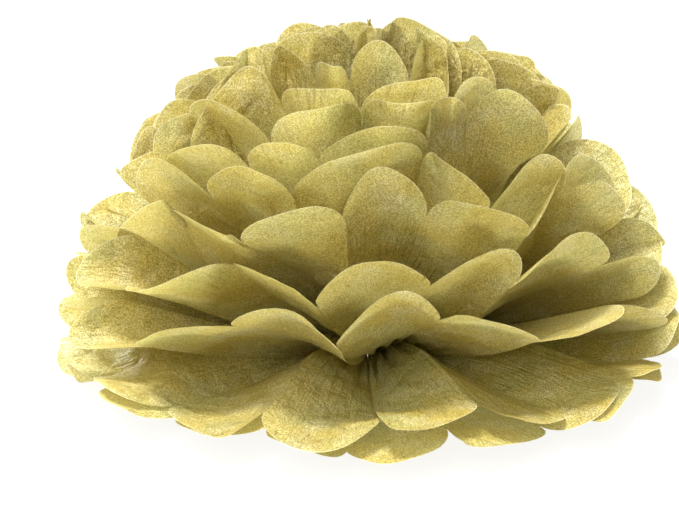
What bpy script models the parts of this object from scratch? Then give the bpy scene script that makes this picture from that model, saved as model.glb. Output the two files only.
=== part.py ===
# Tissue paper pom pom: ten sheets folded together like an accordion, tied across the middle
# with a thin wire, cut round at both ends and opened into discs that rise to a half ball.
# Metres, +Z up. The tie stands over the origin, and the lowest folds lie on z = 0.
# The tie's loop and the open seams lie in the YZ plane, so the two half fans of a sheet
# spread to +X and -X and are each other's mirror image.

import math

import bpy

DIAMETER = 0.1524  # across the opened pom pom, tip to tip
PANELS = 10  # accordion panels in one half fan
PANEL_WIDTH = 0.0226  # from crease to crease
SCALLOP_DEPTH = 0.0110  # how far a panel's rounded end stands past its creases
RIM_ELEVATIONS = (3.8, 8, 15, 24, 34, 43, 52, 60, 67, 73)  # degrees, one per sheet, bottom first

PAPER = 0.00035  # thickness of a sheet's solid
STACK_PITCH = 0.00075  # rise from one sheet to the next, where the tie holds them
TOP_NECK = 0.0026  # from the middle of the top sheet to where its gathered waist turns up
NECK_STEP = 0.0004  # how much further out each lower sheet turns up
SEAM_SLOT = 0.0024  # between the two half fans at the waist, where the wire passes
SEAM_GAP = 0.0006  # between their free edges at the rim
NECK_LIFT = 0.0028  # height of the pinched waist over the opened paper around it
LIFT_RUN = 0.014  # distance over which the waist comes down
PLEAT_RUN = 0.022  # distance over which the pleats open to their full depth
BOTTOM_LAND = 0.0024  # width of the flats that the bottom sheet's lower creases rest on
UPPER_LAND = 0.0006  # width of the rounded lower creases of the sheets above it
NECK_LAND = 0.00012  # either, where the tie squeezes it
RINGS = (0.011, 0.020, 0.034, 0.050)  # radii of the rows between the waist and the rim
LOBE_STEPS = 4  # straight runs in the outline of one rounded end

WIRE_RADIUS = 0.00035
WIRE_GAP = 0.0003  # between the wire and the paper that it holds
WIRE_BEND = 0.0010  # radius of the loop's corners
TWIST_LENGTH = 0.006
TWIST_TURNS = 2
TWIST_RADIUS = 0.00042  # of each strand's path round the middle of the twist
TURN_POINTS = 12  # points in one turn of the twist
BEND_POINTS = 4  # straight runs in one corner

TISSUE_GOLD = (0.44, 0.36, 0.10, 1.0)
WIRE_BRASS = (0.48, 0.36, 0.14, 1.0)

sheet_count = len(RIM_ELEVATIONS)
# A rounded end lies half a panel's turn off the X axis, on the chord between its two creases,
# and each of the two takes this share off the width.
tip_radius = DIAMETER / 2 / math.cos(math.pi / PANELS / 2) ** 2
notch_radius = tip_radius - SCALLOP_DEPTH  # both radii are measured along the paper


def smooth(t):
    """Ease from 0 to 1 as t goes from 0 to 1."""
    t = min(max(t, 0.0), 1.0)
    return t * t * (3 - 2 * t)


def pleat_half_angle(elevation):
    """Half the rise from a lower crease to an upper one, seen from the tie.

    The creases stay PANEL_WIDTH apart, and part of that is spent on their spread round the disc.
    """
    spread = 2 * notch_radius * math.sin(math.pi / PANELS / 2) * math.cos(elevation)
    return math.asin(math.sqrt(PANEL_WIDTH**2 - spread**2) / 2 / notch_radius)


def neck_radius(sheet):
    """From the middle of a sheet to the edge of the waist that the tie holds."""
    return TOP_NECK + NECK_STEP * (sheet_count - 1 - sheet)


def neck_height(sheet):
    """Height of the middle of a sheet's paper at its waist."""
    return PAPER / 2 + sheet * STACK_PITCH + NECK_LIFT


def half_land(sheet, reach):
    """Half the width of a lower crease's flat, at a distance beyond the waist."""
    full = UPPER_LAND if sheet else BOTTOM_LAND
    return (NECK_LAND + (full - NECK_LAND) * smooth(reach / LIFT_RUN)) / 2


def crease_point(sheet, fold, radius, land):
    """Point on a crease of the +X half fan, at a radius along the paper from the sheet's middle.

    Fold 0 is the free edge at -Y, and even folds are the lower ones. land moves the point
    sideways by so many half widths of the crease's flat. The creases start on a half ellipse
    beside the seam slot, and turn evenly from one seam to the other.
    """
    neck = neck_radius(sheet)
    reach = radius - neck
    lean = math.asin((SEAM_SLOT - SEAM_GAP) / 2 / notch_radius)
    turn = -lean + (math.pi + 2 * lean) * fold / PANELS
    half = pleat_half_angle(math.radians(RIM_ELEVATIONS[sheet])) * smooth(reach / PLEAT_RUN)
    mean = math.radians(RIM_ELEVATIONS[sheet]) if sheet else half
    rise = mean + half if fold % 2 else mean - half
    out = neck + reach * math.cos(rise)
    aside = land * half_land(sheet, reach)
    x = SEAM_SLOT / 2 + (out - SEAM_SLOT / 2) * math.sin(turn) + aside * math.cos(turn)
    y = -out * math.cos(turn) + aside * math.sin(turn)
    drop = NECK_LIFT * smooth(reach / LIFT_RUN)
    return (x, y, neck_height(sheet) - drop + reach * math.sin(rise))


def fan_columns():
    """(fold, land) of each line that runs out from the tie: two at a lower crease's flat."""
    columns = [(0, 0), (0, 2)]
    for fold in range(1, PANELS):
        columns += [(fold, 0)] if fold % 2 else [(fold, -1), (fold, 1)]
    return columns + [(PANELS, -2), (PANELS, 0)]


def between(a, b, share):
    return tuple(p + (q - p) * share for p, q in zip(a, b))


def half_fan(sheet):
    """Vertices and faces of the half of a sheet at +X, open at x = 0."""
    columns = fan_columns()
    count = len(columns)
    neck = neck_radius(sheet)
    points = [
        (0.0, neck * (2 * fold / PANELS - 1) + land * half_land(sheet, 0.0), neck_height(sheet))
        for fold, land in columns
    ]
    for radius in (neck, *RINGS, notch_radius):
        points += [crease_point(sheet, fold, radius, land) for fold, land in columns]
    full_rows = len(RINGS) + 1  # rows of quads inside the last ring
    faces = [
        (row * count + i, (row + 1) * count + i, (row + 1) * count + i + 1, row * count + i + 1)
        for row in range(full_rows)
        for i in range(count - 1)
    ]
    inner, outer = full_rows * count, (full_rows + 1) * count
    for i in range(count - 1):
        (fold, land), (next_fold, next_land) = columns[i : i + 2]
        if fold == next_fold:
            faces.append((inner + i, outer + i, outer + i + 1, inner + i + 1))
            continue
        rim = [outer + i]
        for step in range(1, LOBE_STEPS):
            share = step / LOBE_STEPS
            radius = notch_radius + SCALLOP_DEPTH * math.sqrt(1 - (2 * share - 1) ** 2)
            ends = (
                crease_point(sheet, fold, radius, land),
                crease_point(sheet, next_fold, radius, next_land),
            )
            rim.append(len(points))
            points.append(between(*ends, share))
        rim.append(outer + i + 1)
        middle = LOBE_STEPS // 2
        faces += [(inner + i, rim[n], rim[n + 1]) for n in range(middle)]
        faces.append((inner + i, rim[middle], inner + i + 1))
        faces += [(inner + i + 1, rim[n], rim[n + 1]) for n in range(middle, LOBE_STEPS)]
    return points, faces


def make_material(name, colour, roughness, metallic):
    material = bpy.data.materials.new(name)
    material.use_nodes = True
    shader = material.node_tree.nodes["Principled BSDF"]
    shader.inputs["Base Color"].default_value = colour
    shader.inputs["Roughness"].default_value = roughness
    shader.inputs["Metallic"].default_value = metallic
    return material


def make_sheet(sheet, collection, material):
    """One tissue sheet: a half fan, mirrored, and given its thickness."""
    name = f"tissue_sheet_{sheet + 1:02d}"
    mesh = bpy.data.meshes.new(name)
    points, faces = half_fan(sheet)
    mesh.from_pydata(points, [], faces)
    mesh.materials.append(material)
    leaf = bpy.data.objects.new(name, mesh)
    collection.objects.link(leaf)
    mirror = leaf.modifiers.new("other half fan", "MIRROR")
    mirror.merge_threshold = 0.00001
    body = leaf.modifiers.new("paper", "SOLIDIFY")
    body.thickness = PAPER
    body.offset = 0.0
    body.use_even_offset = True
    return leaf


def bend(centre_y, centre_z, start, sweep):
    """An arc in the YZ plane. Angles go from +Y towards +Z, in degrees."""
    turns = [math.radians(start + sweep * n / BEND_POINTS) for n in range(BEND_POINTS + 1)]
    return [
        (0.0, centre_y + WIRE_BEND * math.cos(turn), centre_z + WIRE_BEND * math.sin(turn))
        for turn in turns
    ]


def strand(side, start, middle):
    """One of the two twisted ends, from the loop outwards: a helix round a line along Y."""
    steps = TWIST_TURNS * TURN_POINTS
    return [
        (
            side * TWIST_RADIUS * math.sin(math.tau * n / TURN_POINTS),
            start + TWIST_LENGTH * n / steps,
            middle + side * TWIST_RADIUS * math.cos(math.tau * n / TURN_POINTS),
        )
        for n in range(steps + 1)
    ]


def wire_path():
    """In along the twist, under the stack, up the front, back over it, and out along the twist."""
    clear = WIRE_RADIUS + WIRE_GAP
    low = neck_height(0) - PAPER / 2 - clear
    high = neck_height(sheet_count - 1) + PAPER / 2 + clear
    side = neck_radius(0) + clear
    start = side + WIRE_BEND
    inner = side - WIRE_BEND
    middle = low + TWIST_RADIUS
    return [
        *reversed(strand(-1, start, middle)),
        *bend(-inner, low + WIRE_BEND, -90, -90),
        *bend(-inner, high - WIRE_BEND, 180, -90),
        *bend(inner, high - WIRE_BEND, 90, -90),
        *bend(start, middle + TWIST_RADIUS + WIRE_BEND, 180, 90)[:-1],
        *strand(1, start, middle),
    ]


def make_tie(collection, material):
    """Binding wire round the waist, its two ends twisted together at the back."""
    points = wire_path()
    curve = bpy.data.curves.new("tie_wire", "CURVE")
    curve.dimensions = "3D"
    curve.bevel_depth = WIRE_RADIUS
    curve.bevel_resolution = 2
    curve.use_fill_caps = True
    spline = curve.splines.new("POLY")
    spline.points.add(len(points) - 1)
    for point, place in zip(spline.points, points):
        point.co = (*place, 1.0)
    curve.materials.append(material)
    collection.objects.link(bpy.data.objects.new("tie_wire", curve))


def main():
    for thing in list(bpy.data.objects):
        bpy.data.objects.remove(thing)
    collection = bpy.data.collections.new("tissue pom pom")
    bpy.context.scene.collection.children.link(collection)
    tissue = make_material("gold tissue paper", TISSUE_GOLD, 0.6, 0.0)
    brass = make_material("brass coloured wire", WIRE_BRASS, 0.35, 1.0)
    for sheet in range(sheet_count):
        make_sheet(sheet, collection, tissue)
    make_tie(collection, brass)


main()
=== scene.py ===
import math

import bpy
import numpy as np
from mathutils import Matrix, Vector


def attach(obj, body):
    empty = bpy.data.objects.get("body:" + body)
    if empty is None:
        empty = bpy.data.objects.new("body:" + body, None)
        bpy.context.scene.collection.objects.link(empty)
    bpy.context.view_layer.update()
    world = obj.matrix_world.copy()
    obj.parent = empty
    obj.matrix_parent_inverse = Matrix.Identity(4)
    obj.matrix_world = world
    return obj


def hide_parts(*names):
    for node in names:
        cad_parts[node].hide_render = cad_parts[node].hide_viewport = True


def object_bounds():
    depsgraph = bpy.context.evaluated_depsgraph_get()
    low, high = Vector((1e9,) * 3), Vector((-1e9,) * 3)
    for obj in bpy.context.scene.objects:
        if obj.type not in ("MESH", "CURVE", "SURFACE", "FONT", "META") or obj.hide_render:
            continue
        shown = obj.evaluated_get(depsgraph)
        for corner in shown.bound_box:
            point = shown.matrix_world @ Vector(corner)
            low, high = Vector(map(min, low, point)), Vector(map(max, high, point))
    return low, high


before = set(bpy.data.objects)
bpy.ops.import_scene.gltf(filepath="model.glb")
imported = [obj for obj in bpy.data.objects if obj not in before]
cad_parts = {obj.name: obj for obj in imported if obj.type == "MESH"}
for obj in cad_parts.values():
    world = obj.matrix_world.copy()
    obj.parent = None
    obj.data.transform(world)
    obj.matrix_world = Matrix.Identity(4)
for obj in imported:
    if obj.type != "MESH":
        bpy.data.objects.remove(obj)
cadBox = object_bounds()

# The paper as it was cut, in metres. Two half fans of ten panels make one sheet.
paper = {
    "panels": 10,
    "panelWidth": 0.0226,
    "scallopDepth": 0.0110,  # how far a rounded end stands past its creases
    "topNeck": 0.0026,  # from the middle of the top sheet to the edge of its squeezed waist
    "neckStep": 0.0004,  # and how much further out it is on each sheet below
    "stackPitch": 0.00075,  # rise from sheet to sheet at the tie
    "neckLift": 0.0028,  # height of the pinched waist over the opened paper
    "liftRun": 0.014,  # how far out that lift fades away
    "pleatRun": 0.020,  # how far out the pleats have opened
    "slot": 0.0024,  # between the half fans at the waist, where the wire passes
    "slotStart": 0.004,  # from here the slot closes
    "slotRun": 0.005,  # over this distance
    "floorGap": 0.0001,  # least height over the floor
    "baseLift": 0.0002,
    "cutArea": 0.0342,  # of one sheet with its rounded ends, in square metres
    "columnsPerPanel": 20,
    "rows": 64,
}

# How far the opened paper strays from regular folds, in metres and degrees
stray = {
    "crease": 2.5,  # degrees that an unset crease may turn either way
    "tip": 2.5,  # the same for the top of a rounded end, on the bottom sheet
    "tipStep": 0.45,  # and how much looser it is on each sheet above
    "turnStart": 0.028,  # a crease starts to turn to its rim direction here
    "fanStart": 0.016,  # the creases spread from regular azimuths over this stretch
    "fanRun": 0.040,
    "bendStart": 0.040,  # the rounded ends bend from here to the rim
    "uneven": 0.0003,  # of the cut rim
    "gather": 0.0022,  # height of the small gathers by the tie, on the bottom sheet
    "gatherStep": 0.03,  # and the share by which it grows on each sheet above
    "gatherStart": 0.018,  # they fade out over this stretch
    "gatherRun": 0.028,
    "crinkle": 0.22,  # height of the fine wrinkles, in mm
    "crinklePitch": 260,  # radians of wrinkle to a metre of paper
}

sheetNames = sorted(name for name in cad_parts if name.startswith("tissue_sheet"))
tipRadius = (cadBox[1][0] - cadBox[0][0]) / 2 / math.cos(math.pi / paper["panels"] / 2) ** 2
notchRadius = tipRadius - paper["scallopDepth"]


def linearFromHex(code):
    values = np.array([int(code[i : i + 2], 16) for i in (0, 2, 4)]) / 255
    linear = np.where(values <= 0.04045, values / 12.92, ((values + 0.055) / 1.055) ** 2.4)
    return (*(float(v) for v in linear), 1.0)


def smooth(t):
    t = np.clip(t, 0, 1)
    return t * t * (3 - 2 * t)


def addNode(tree, kind, settings=None, **links):
    # adds a node, sets its properties, and links or sets its inputs by name
    node = tree.nodes.new(kind)
    for key, value in (settings or {}).items():
        setattr(node, key, value)
    for key, value in links.items():
        socket = node.inputs[int(key[1:]) if key[0] == "i" and key[1:].isdigit() else key.replace("_", " ")]
        if isinstance(value, bpy.types.NodeSocket):
            tree.links.new(value, socket)
        else:
            socket.default_value = value
    return node


# ---- tissue ----

# creases: number from the front seam, minus to the left, to (azimuth, elevation) of its outer
# end in degrees; azimuth 0 is the front and grows to the right
# tips: the same for the top of a rounded end; panel 1 lies between creases 0 and 1
# pleats: most degrees that the pleats stand up and down inside
# turn: higher keeps the inner pleats further out before the rim takes over
# flare: degrees by which the paper lies lower inside than its rim, before it turns up
sheetShapes = {
    "tissue_sheet_01": {
        "mean": 3,
        "pleats": 7,
        "turn": 2.6,
        "flare": 0,
        "creases": {
            -3: (-58, 4), -2: (-37, 4), -1: (-18, 6), 0: (-4, 3), 1: (14.5, 6), 2: (34, 3), 3: (53, 8),
            4: (70, 6), 5: (88, 10), 6: (106, 7),
        },
        "tips": {
            -4: (-66, 6), -3: (-44, 6), -2: (-26, 5.5), -1: (-11, 5.5), 1: (5, 2.5), 2: (18, 4.5),
            3: (40, 6.5), 4: (58, 9), 5: (76, 11),
        },
    },
    "tissue_sheet_02": {
        "mean": 7.5,
        "pleats": 14,
        "turn": 3.2,
        "flare": 1,
        "creases": {
            -4: (-79, 6), -3: (-62, 4), -2: (-39, 5), -1: (-19, 8), 0: (2, 9), 1: (20, 10), 2: (38, 4.5),
            3: (58, 7), 4: (74, 4),
        },
        "tips": {-3: (-48, 6), -2: (-24, 4.5), -1: (-8, 5), 1: (7, 8), 2: (27, 6), 3: (42, 5), 4: (58, 5)},
    },
    "tissue_sheet_03": {
        "mean": 15,
        "pleats": 5,
        "turn": 1.6,
        "flare": 2.5,
        "creases": {-2: (-48, 14), -1: (-27, 23), 0: (-5.5, 21), 1: (14, 26), 2: (34, 19), 3: (57, 21)},
        "tips": {-3: (-61, 11), -2: (-37, 17.5), -1: (-14, 26), 1: (5, 29), 2: (19, 25), 3: (44, 20)},
    },
    "tissue_sheet_04": {
        "mean": 24,
        "pleats": 5,
        "turn": 1.6,
        "flare": 3,
        "creases": {-2: (-54, 24), -1: (-30, 34), 0: (-10, 28), 1: (13, 32), 2: (30, 29.5), 3: (60, 28)},
        "tips": {-3: (-68, 19), -2: (-43, 25), -1: (-14, 30), 1: (1, 33), 2: (26, 34.5), 3: (43, 34)},
    },
    "tissue_sheet_05": {
        "mean": 34,
        "pleats": 6,
        "turn": 1.7,
        "flare": 3,
        "creases": {
            -3: (-74, 28), -2: (-54, 40), -1: (-30, 38), 0: (-6, 45), 1: (15, 46), 2: (39, 38), 3: (80, 32),
        },
        "tips": {
            -4: (-86, 27), -3: (-51, 39), -2: (-30, 36), -1: (-14, 41), 1: (4, 50), 2: (23, 41), 3: (62, 46),
        },
    },
    "tissue_sheet_06": {
        "mean": 43,
        "pleats": 7,
        "turn": 1.7,
        "flare": 3,
        "creases": {-2: (-71, 38), -1: (-45, 45), 0: (-20, 48), 1: (18, 58), 2: (31, 44), 3: (56, 43)},
        "tips": {-3: (-74, 40), -2: (-58, 44), -1: (-30, 47), 1: (-1, 53), 2: (21, 48), 3: (45, 48)},
    },
    "tissue_sheet_07": {
        "mean": 51,
        "pleats": 8,
        "turn": 1.7,
        "flare": 2,
        "creases": {
            -2: (-69, 44), -1: (-37, 52), 0: (-15, 55), 1: (21, 60), 2: (48, 66), 3: (70, 52), 4: (86, 58),
        },
        "tips": {-3: (-68, 50), -2: (-45, 50), -1: (-22, 52), 1: (2, 57), 2: (24, 62), 3: (57, 62)},
    },
    "tissue_sheet_08": {
        "mean": 59,
        "pleats": 9,
        "turn": 1.6,
        "flare": 2,
        "creases": {-2: (-72, 54), -1: (-35, 58), 0: (-3, 68), 1: (34, 66), 2: (70, 65)},
        "tips": {-2: (-60, 57), -1: (-15, 59), 1: (12, 61), 2: (49, 68)},
    },
    "tissue_sheet_09": {
        "mean": 66,
        "pleats": 9,
        "turn": 1.6,
        "flare": 1,
        "creases": {
            -10: (-180, 72), -3: (-76, 64), -1: (-47, 68), 0: (-4, 67), 1: (35, 66), 2: (66, 72), 3: (82, 62),
            10: (180, 72),
        },
        "tips": {-3: (-80, 68), -2: (-58, 65), -1: (-14, 63), 1: (20, 66), 2: (66, 75), 3: (84, 70)},
    },
    "tissue_sheet_10": {
        "mean": 73,
        "pleats": 9,
        "turn": 1.6,
        "flare": 1,
        "creases": {
            -10: (-180, 84), -8: (-150, 76), -6: (-112, 70), -4: (-84, 78), -2: (-66, 70), -1: (-46, 77),
            0: (-14, 76), 1: (32, 77), 2: (66, 72), 3: (80, 80), 5: (104, 72), 8: (146, 77), 10: (180, 84),
        },
        "tips": {
            -10: (-176, 80), -7: (-120, 77), -2: (-72, 72), -1: (-18, 70), 1: (5, 80), 2: (71, 80),
            10: (174, 82),
        },
    },
}


def pleatHalfAngle(mean, radius):
    # half the rise from a lower crease to an upper one, if the creases stay a panel's width apart
    spread = 2 * radius * math.sin(math.pi / paper["panels"] / 2) * math.cos(mean)
    full = np.sqrt(np.maximum(paper["panelWidth"] ** 2 - spread**2, 0)) / 2 / radius
    return np.arcsin(np.minimum(full, 0.95))


def handSet(given, side, which):
    # picks this side's creases out of the listed ones: their numbers, and one of their two angles
    numbers = sorted(abs(n) for n in given if n * side >= 0)
    angles = [math.radians(given[n * side][which]) for n in numbers]
    return numbers, [v * side if which == 0 else v for v in angles]


def makeHalfFan(index, name, side, rng):
    # the half fan at +X for side 1 and at -X for side -1, as a grid of columns round the fan
    # and rows from the waist to the rim. A crease is a ray from the waist at an azimuth and an
    # elevation, a panel is the ruled surface between two creases, and its end is half a sine wave.
    # The listed directions are carried over to the unset creases between and just beyond them.
    shape = sheetShapes[name]
    panels, perPanel, rows = paper["panels"], paper["columnsPerPanel"], paper["rows"]
    neck = paper["topNeck"] + paper["neckStep"] * (len(sheetNames) - 1 - index)
    mean = math.radians(shape["mean"])
    folds = np.arange(panels + 1)
    parity = folds % 2 * 2 - 1.0
    regularAz = np.pi * folds / panels
    rimHalf = min(float(pleatHalfAngle(mean, np.array(notchRadius))), math.radians(9))
    regularEl = mean + rimHalf * parity
    numbers, azimuths = handSet(shape["creases"], side, 0)
    elevations = handSet(shape["creases"], side, 1)[1]
    last = numbers[-1]
    knots = numbers + [min(last + 3, panels)] * (last < panels)

    def carried(regular, angles):
        shifts = [*(np.array(angles) - regular[numbers]), 0][: len(knots)]
        return regular + np.interp(folds, knots, shifts)

    rimAz, rimEl = carried(regularAz, azimuths), carried(regularEl, elevations)
    free = ~np.isin(folds, numbers) * 1.0
    rimAz += np.radians(rng.uniform(-stray["crease"], stray["crease"], panels + 1)) * free
    rimEl += np.radians(rng.uniform(-stray["crease"], stray["crease"], panels + 1)) * free
    rimEl[[0, -1]] += math.radians(0.6 * side)
    rimAz[0] -= math.radians(0.5)
    rimAz[-1] += math.radians(0.5)

    column = np.arange(panels * perPanel + 1)
    panel = np.minimum(column // perPanel, panels - 1)
    q = (column - panel * perPanel) / perPanel
    p = (1 - np.cos(np.pi * q)) / 2
    depth = paper["scallopDepth"] * (1 + rng.uniform(-0.05, 0.12, panels))
    uneven = sum(np.sin(k * np.pi * q + rng.uniform(0, 6.28, panels)[panel]) for k in (2, 3, 5))
    rim = notchRadius + depth[panel] * np.sin(np.pi * q) + stray["uneven"] * uneven * np.sin(np.pi * q)
    t = np.linspace(0, 1, rows + 1)[:, None]
    radius = neck + t * (rim - neck)[None, :]

    def place(azimuth, elevation, distance):
        # the point at a distance along the paper from the middle, in a direction from the waist
        reach = distance - neck
        out = neck + reach * np.cos(elevation)
        slot = paper["slot"] / 2 * (1 - smooth((reach - paper["slotStart"]) / paper["slotRun"]))
        lift = paper["neckLift"] * (1 - smooth(reach / paper["liftRun"]))
        z = paper["baseLift"] + index * paper["stackPitch"] + lift + reach * np.sin(elevation)
        return np.stack([slot + (out - slot) * np.sin(azimuth), -out * np.cos(azimuth), z], axis=-1)

    neighbours = np.concatenate([[rimEl[1]], rimEl, [rimEl[-2]]])
    bodyEl = (neighbours[:-2] + 2 * rimEl + neighbours[2:]) / 4 - math.radians(shape["flare"])

    def crease(number):
        # shallow regular pleats inside, turning to the crease's own direction towards the rim
        opened = smooth((radius - neck) / paper["pleatRun"])
        deep = np.minimum(pleatHalfAngle(mean, np.maximum(radius, 0.012)), math.radians(shape["pleats"]))
        half = deep * opened
        start = stray["turnStart"]
        turned = np.clip((radius - start) / (notchRadius - start), 0, 1) ** shape["turn"]
        inner = np.maximum(bodyEl[number] + half * parity[number], mean * 0.6) * opened
        el = inner + (rimEl[number] - inner) * turned
        fanned = smooth((radius - stray["fanStart"]) / stray["fanRun"])
        az = regularAz[number] + (rimAz - regularAz)[number] * fanned
        return place(az, el, radius), az, el

    (a, azA, elA), (b, azB, elB) = crease(panel), crease(panel + 1)
    middle = (a + b) / 2
    along = np.gradient(middle, axis=0)
    normal = np.cross(along, b - a)
    normal /= np.maximum(np.linalg.norm(normal, axis=-1, keepdims=True), 1e-9)
    points = a + (b - a) * p[None, :, None]
    azHere, elHere = azA + (azB - azA) * p, elA + (elB - elA) * p
    leaning = [-np.sin(elHere) * np.sin(azHere), np.sin(elHere) * np.cos(azHere), np.cos(elHere)]
    upwards = np.stack(leaning, axis=-1)

    # every rounded end bends until its top points where it should
    tipAz = (rimAz[:-1] + rimAz[1:]) / 2
    loose = math.radians(stray["tip"] + stray["tipStep"] * index)
    tipAz = tipAz + rng.uniform(-0.5, 0.5, panels) * loose / max(math.cos(mean), 0.3)
    tipEl = (rimEl[:-1] + rimEl[1:]) / 2 + rng.uniform(-0.7, 1.0, panels) * loose
    for number, (azimuth, elevation) in shape["tips"].items():
        if number * side > 0:
            tipAz[abs(number) - 1] = math.radians(azimuth * side)
            tipEl[abs(number) - 1] = math.radians(elevation)
    tipColumns = np.arange(panels) * perPanel + perPanel // 2
    shift = place(tipAz, tipEl, notchRadius + depth) - points[-1, tipColumns]
    bulge = np.sin(np.pi * p)[None, :]
    start = stray["bendStart"]
    towards = np.clip((radius - start) / (notchRadius + depth[panel][None, :] - start), 0, 1)
    points = points + shift[panel][None, :, :] * (bulge * towards**1.5)[..., None]

    # rolled and cupped ends, gathers by the tie (three waves to a panel) and slanting fine
    # wrinkles (four sine waves, each finer and lower than the one before), in mm
    roll = rng.uniform(-0.8, 1.6, panels)
    cup = rng.uniform(-0.3, 0.9, panels)
    fading = 1 - smooth((radius - stray["gatherStart"]) / stray["gatherRun"])
    height = stray["gather"] * (1 + stray["gatherStep"] * index)
    gather = height * smooth((radius - neck) / 0.012) * fading
    waves = gather * (0.8 + np.sin(6 * np.pi * p))[None, :]
    phase = rng.uniform(0, 6.28, (4, panels))
    acrossAll = (1.0, 2.3, -3.1, 4.6)

    def wrinkle(n):
        outwards = stray["crinklePitch"] * radius * (1 + 0.7 * n)
        return np.sin(acrossAll[n] * np.pi * p[None, :] + outwards + phase[n][panel][None, :]) / (1 + 0.5 * n)

    crinkle = sum(wrinkle(n) for n in range(4)) * smooth((radius - 0.02) / 0.02)
    curl = roll[panel] * towards**3 + cup[panel] * smooth(radius / 0.05)
    offset = bulge * (curl + stray["crinkle"] * crinkle) * 0.001
    points = points + normal * offset[..., None] + upwards * waves[..., None]
    points[..., 0] *= side
    flatU = (column // perPanel + p) * paper["panelWidth"]
    return points, np.broadcast_to(flatU, radius.shape), radius, rim[None, :] - radius


def makeSheet(index, name, material):
    # joins the two half fans at the waist and hands the grid to a mesh
    rng = np.random.default_rng(40 + index)
    vertices, faces, uv, rimDistance, creased = [], [], [], [], []
    waists, count = [], 0
    for side in (1, -1):
        points, u, v, toRim = makeHalfFan(index, name, side, rng)
        rows, columns = points.shape[:2]
        grid = count + np.arange(rows * columns).reshape(rows, columns)
        quads = np.stack([grid[:-1, :-1], grid[1:, :-1], grid[1:, 1:], grid[:-1, 1:]], axis=-1).reshape(-1, 4)
        faces.append(quads if side > 0 else quads[:, ::-1])
        vertices.append(points.reshape(-1, 3))
        uv.append(np.stack([u, v * side], axis=-1).reshape(-1, 2))
        rimDistance.append(toRim.reshape(-1))
        outer = (np.arange(rows) > rows * 0.35)[:, None]
        onCrease = (np.arange(columns) % paper["columnsPerPanel"] == 0) & outer
        creased.append(onCrease.reshape(-1))
        waists.append(grid[0])
        count += rows * columns
    right, left = waists
    faces.append(np.stack([left[:-1], right[:-1], right[1:], left[1:]], axis=-1))
    vertices, uv = np.concatenate(vertices), np.concatenate(uv)
    vertices[:, 2] = np.maximum(vertices[:, 2], paper["floorGap"])
    faces = np.concatenate(faces)
    mesh = bpy.data.meshes.new(name + "_paper")
    mesh.from_pydata(vertices.tolist(), [], faces.tolist())
    layer = mesh.uv_layers.new(name="paper")
    loops = np.empty(len(mesh.loops), dtype=np.int32)
    mesh.loops.foreach_get("vertex_index", loops)
    layer.data.foreach_set("uv", (uv[loops] * 10).astype(np.float32).ravel())
    rimLayer = mesh.attributes.new("toRim", "FLOAT", "POINT")
    rimLayer.data.foreach_set("value", np.concatenate(rimDistance).astype(np.float32) * 1000)
    mesh.polygons.foreach_set("use_smooth", np.ones(len(faces), dtype=bool))
    ends = np.empty(len(mesh.edges) * 2, dtype=np.int32)
    mesh.edges.foreach_get("vertices", ends)
    folded = np.concatenate(creased)[ends].reshape(-1, 2).all(axis=1)
    mesh.attributes.new("sharp_edge", "BOOLEAN", "EDGE").data.foreach_set("value", folded)
    mesh.materials.append(material)
    mesh.update()
    piece = bpy.data.objects.new(name.replace("tissue_sheet", "tissueSheet"), mesh)
    bpy.context.scene.collection.objects.link(piece)
    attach(piece, "root")
    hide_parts(name)
    return piece


tissueLook = {
    "gold": "e0d38c",
    "brown": "cdbb6a",
    "green": "cbcb90",
    "pale": "e9e5c0",
    "grain": "bdb596",  # the darker flecks multiply the colour by this
    # painted highlight: a pale colour laid along the cut edge of the paper
    "edge": "f8f3cf",
    "glow": "f4ea8c",
    "roughness": 0.46,
    "through": 0.27,  # share of the light that passes the paper
    "fleckSize": 0.00032,  # real ink flecks are under 0.1 mm, drawn as coarse as they need to show
    "edgeWidth": 0.30,  # in mm, the strip along the cut edge that gets the painted highlight
}


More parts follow.
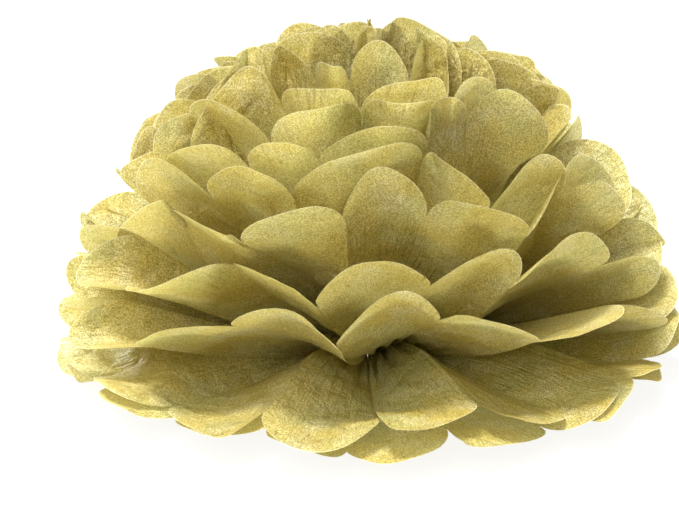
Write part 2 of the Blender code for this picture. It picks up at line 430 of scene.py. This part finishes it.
def printedTissue():
    # tissue paper printed with gold ink: matt, grainy and a little cloudy from the front,
    # glowing yellow where the light is behind it, with cockles and fine creases along the folds
    look = tissueLook
    material = bpy.data.materials.new("goldPrintedTissue")
    material.use_nodes = True
    tree = material.node_tree
    tree.nodes.clear()
    place = addNode(tree, "ShaderNodeTexCoord").outputs["Object"]
    flat = addNode(tree, "ShaderNodeUVMap", {"uv_map": "paper"}).outputs["UV"]

    def noise(vector, scale, detail, roughness=0.6, twist=0.0):
        values = {"Scale": scale, "Detail": detail, "Roughness": roughness, "Distortion": twist}
        return addNode(tree, "ShaderNodeTexNoise", Vector=vector, **values).outputs["Fac"]

    def spread(value, low, high, start=0.0, end=1.0):
        return addNode(tree, "ShaderNodeMapRange", Value=value, i1=low, i2=high, i3=start, i4=end).outputs[0]

    def blend(share, first, second, kind="MIX"):
        colours = [linearFromHex(c) if isinstance(c, str) else c for c in (first, second)]
        settings = {"data_type": "RGBA", "blend_type": kind}
        return addNode(tree, "ShaderNodeMix", settings, i0=share, i6=colours[0], i7=colours[1]).outputs[2]

    def bumped(height, strength, distance, **below):
        values = {"Strength": strength, "Distance": distance}
        return addNode(tree, "ShaderNodeBump", Height=height, **values, **below).outputs[0]

    # cloudy ink: brown clouds about 24 mm across, green ones 15 mm, pale ones 9 mm, then flecks
    ink = blend(spread(noise(place, 42.0, 2.0), 0.40, 0.62), look["gold"], look["brown"])
    ink = blend(spread(noise(place, 66.0, 2.0), 0.46, 0.66, 0.0, 0.8), ink, look["green"])
    ink = blend(spread(noise(place, 110.0, 3.0), 0.46, 0.70, 0.0, 0.6), ink, look["pale"])
    flecks = spread(noise(place, 1 / look["fleckSize"], 1.0, 0.5), 0.42, 0.58)
    ink = blend(spread(flecks, 0.0, 1.0, 1.0, 0.0), ink, look["grain"], "MULTIPLY")
    toRim = addNode(tree, "ShaderNodeAttribute", {"attribute_name": "toRim"}).outputs["Fac"]
    # painted highlight: the colour turns pale towards the cut edge, over the strip width set above
    ink = blend(spread(toRim, 0.0, look["edgeWidth"], 0.85, 0.0), ink, look["edge"])

    # fine creases along the folds, 1.4 mm apart and 17 mm long, dents of 6 mm and cockles of 1 mm
    stretched = addNode(tree, "ShaderNodeMapping", Vector=flat, Scale=(70.0, 6.0, 1.0)).outputs[0]
    creases = bumped(noise(stretched, 1.0, 3.0), 0.5, 0.0022)
    dents = bumped(noise(place, 160.0, 2.0, 0.5, 0.8), 0.6, 0.0026, Normal=creases)
    bump = bumped(noise(place, 900.0, 3.0), 0.5, 0.0006, Normal=dents)
    surface = {"Base_Color": ink, "Normal": bump, "Roughness": look["roughness"]}
    front = addNode(tree, "ShaderNodeBsdfPrincipled", **surface)
    glow = addNode(tree, "ShaderNodeBsdfTranslucent", Color=blend(0.5, ink, look["glow"]), Normal=bump)
    both = addNode(tree, "ShaderNodeMixShader", i0=look["through"], i1=front.outputs[0], i2=glow.outputs[0])
    addNode(tree, "ShaderNodeOutputMaterial", Surface=both.outputs[0])
    return material


tissue = printedTissue()
for index, name in enumerate(sheetNames):
    makeSheet(index, name, tissue)
print("sheets made")

# ---- tie ----

wire = bpy.data.objects["tie_wire"]
wireLook = {"brass": "a8904e", "tarnish": "75643a", "smoothest": 0.28, "roughest": 0.5}


def drawnBrass():
    # brass drawn through a die: a warm grey gold shine, with fine scratches along the wire
    # that blur its highlight, and a duller tarnish in patches
    material = bpy.data.materials.new("drawnBrassWire")
    material.use_nodes = True
    tree = material.node_tree
    shader = tree.nodes["Principled BSDF"]
    place = addNode(tree, "ShaderNodeTexCoord").outputs["Object"]
    along = addNode(tree, "ShaderNodeMapping", Vector=place, Scale=(4000.0, 400.0, 4000.0)).outputs[0]
    scratches = addNode(tree, "ShaderNodeTexNoise", Vector=along, Scale=1.0, Detail=2.0).outputs["Fac"]
    tarnish = addNode(tree, "ShaderNodeTexNoise", Vector=place, Scale=600.0, Detail=3.0).outputs["Fac"]
    brass, dull = linearFromHex(wireLook["brass"]), linearFromHex(wireLook["tarnish"])
    colour = addNode(tree, "ShaderNodeMix", {"data_type": "RGBA"}, i0=tarnish, i6=brass, i7=dull).outputs[2]
    ends = {"i1": 0.3, "i2": 0.7, "i3": wireLook["smoothest"], "i4": wireLook["roughest"]}
    roughness = addNode(tree, "ShaderNodeMapRange", Value=tarnish, **ends).outputs[0]
    bump = addNode(tree, "ShaderNodeBump", Height=scratches, Strength=0.3, Distance=0.00005).outputs[0]
    tree.links.new(colour, shader.inputs["Base Color"])
    tree.links.new(roughness, shader.inputs["Roughness"])
    tree.links.new(bump, shader.inputs["Normal"])
    shader.inputs["Metallic"].default_value = 1.0
    return material


wire.material_slots[0].link = "OBJECT"
wire.material_slots[0].material = drawnBrass()
print("tie finished")

# ---- stage ----

view = {
    "elevation": 20.0,
    "distance": 0.381,
    "lens": 79.5,
    "centre": (0.0, 0.0, 0.004),
    "turnLeft": 1.15,  # degrees that the camera looks past the object's middle
    "tiltUp": 2.88,
}
# suns: name, direction to the source, power, softness in degrees
stage = {
    "floor": "767674",
    "floorGlow": 0.85,
    "horizon": 0.08,
    "zenith": 0.75,
    "suns": [
        ("overhead", (-0.20, -0.12, 0.97), 4.6, 16, "fffdf6"),
        ("behind", (-0.45, 0.72, 0.50), 5.0, 30, "fffdf6"),
        ("front", (-0.34, -0.72, 0.60), 1.9, 50, "fffef9"),
    ],
}


def addCamera():
    rise = math.radians(view["elevation"])
    place = np.array(view["centre"]) + view["distance"] * np.array([0, -math.cos(rise), math.sin(rise)])
    data = bpy.data.cameras.new("camera")
    data.lens = view["lens"]
    data.sensor_width = 36.0
    data.clip_start = 0.01
    camera = bpy.data.objects.new("camera", data)
    camera.location = place
    tilt = math.radians(90 - view["elevation"] + view["tiltUp"])
    camera.rotation_euler = (tilt, 0, math.radians(view["turnLeft"]))
    bpy.context.scene.collection.objects.link(camera)
    bpy.context.scene.camera = camera


def addFloor():
    mesh = bpy.data.meshes.new("floor")
    mesh.from_pydata([(-3, -3, 0), (3, -3, 0), (3, 3, 0), (-3, 3, 0)], [], [(0, 1, 2, 3)])
    floor = bpy.data.objects.new("floor", mesh)
    bpy.context.scene.collection.objects.link(floor)
    material = bpy.data.materials.new("paleFloor")
    material.use_nodes = True
    shader = material.node_tree.nodes["Principled BSDF"]
    shader.inputs["Base Color"].default_value = linearFromHex(stage["floor"])
    shader.inputs["Roughness"].default_value = 0.9
    shader.inputs["Emission Color"].default_value = linearFromHex("ffffff")
    shader.inputs["Emission Strength"].default_value = stage["floorGlow"]
    mesh.materials.append(material)


def addSun(name, source, power, angle, colour):
    data = bpy.data.lights.new(name, "SUN")
    data.energy = power
    data.angle = math.radians(angle)
    data.color = linearFromHex(colour)[:3]
    light = bpy.data.objects.new(name, data)
    lean = math.atan2(math.hypot(source[0], source[1]), source[2])
    light.rotation_euler = (lean, 0, math.atan2(source[0], -source[1]))
    bpy.context.scene.collection.objects.link(light)


def addSky():
    # white, dim at the horizon and bright overhead
    world = bpy.data.worlds.new("studio")
    world.use_nodes = True
    sky = world.node_tree
    direction = addNode(sky, "ShaderNodeTexCoord").outputs["Generated"]
    up = addNode(sky, "ShaderNodeSeparateXYZ", Vector=direction).outputs["Z"]
    ends = {"i1": 0.0, "i2": 1.0, "i3": stage["horizon"], "i4": stage["zenith"]}
    brightness = addNode(sky, "ShaderNodeMapRange", Value=up, **ends).outputs[0]
    sky.links.new(brightness, sky.nodes["Background"].inputs["Strength"])
    sky.nodes["Background"].inputs["Color"].default_value = (1, 1, 1, 1)
    bpy.context.scene.world = world


addCamera()
addFloor()
addSky()
for sun in stage["suns"]:
    addSun(*sun)
bpy.context.scene.view_settings.view_transform = "Standard"
print("stage set")
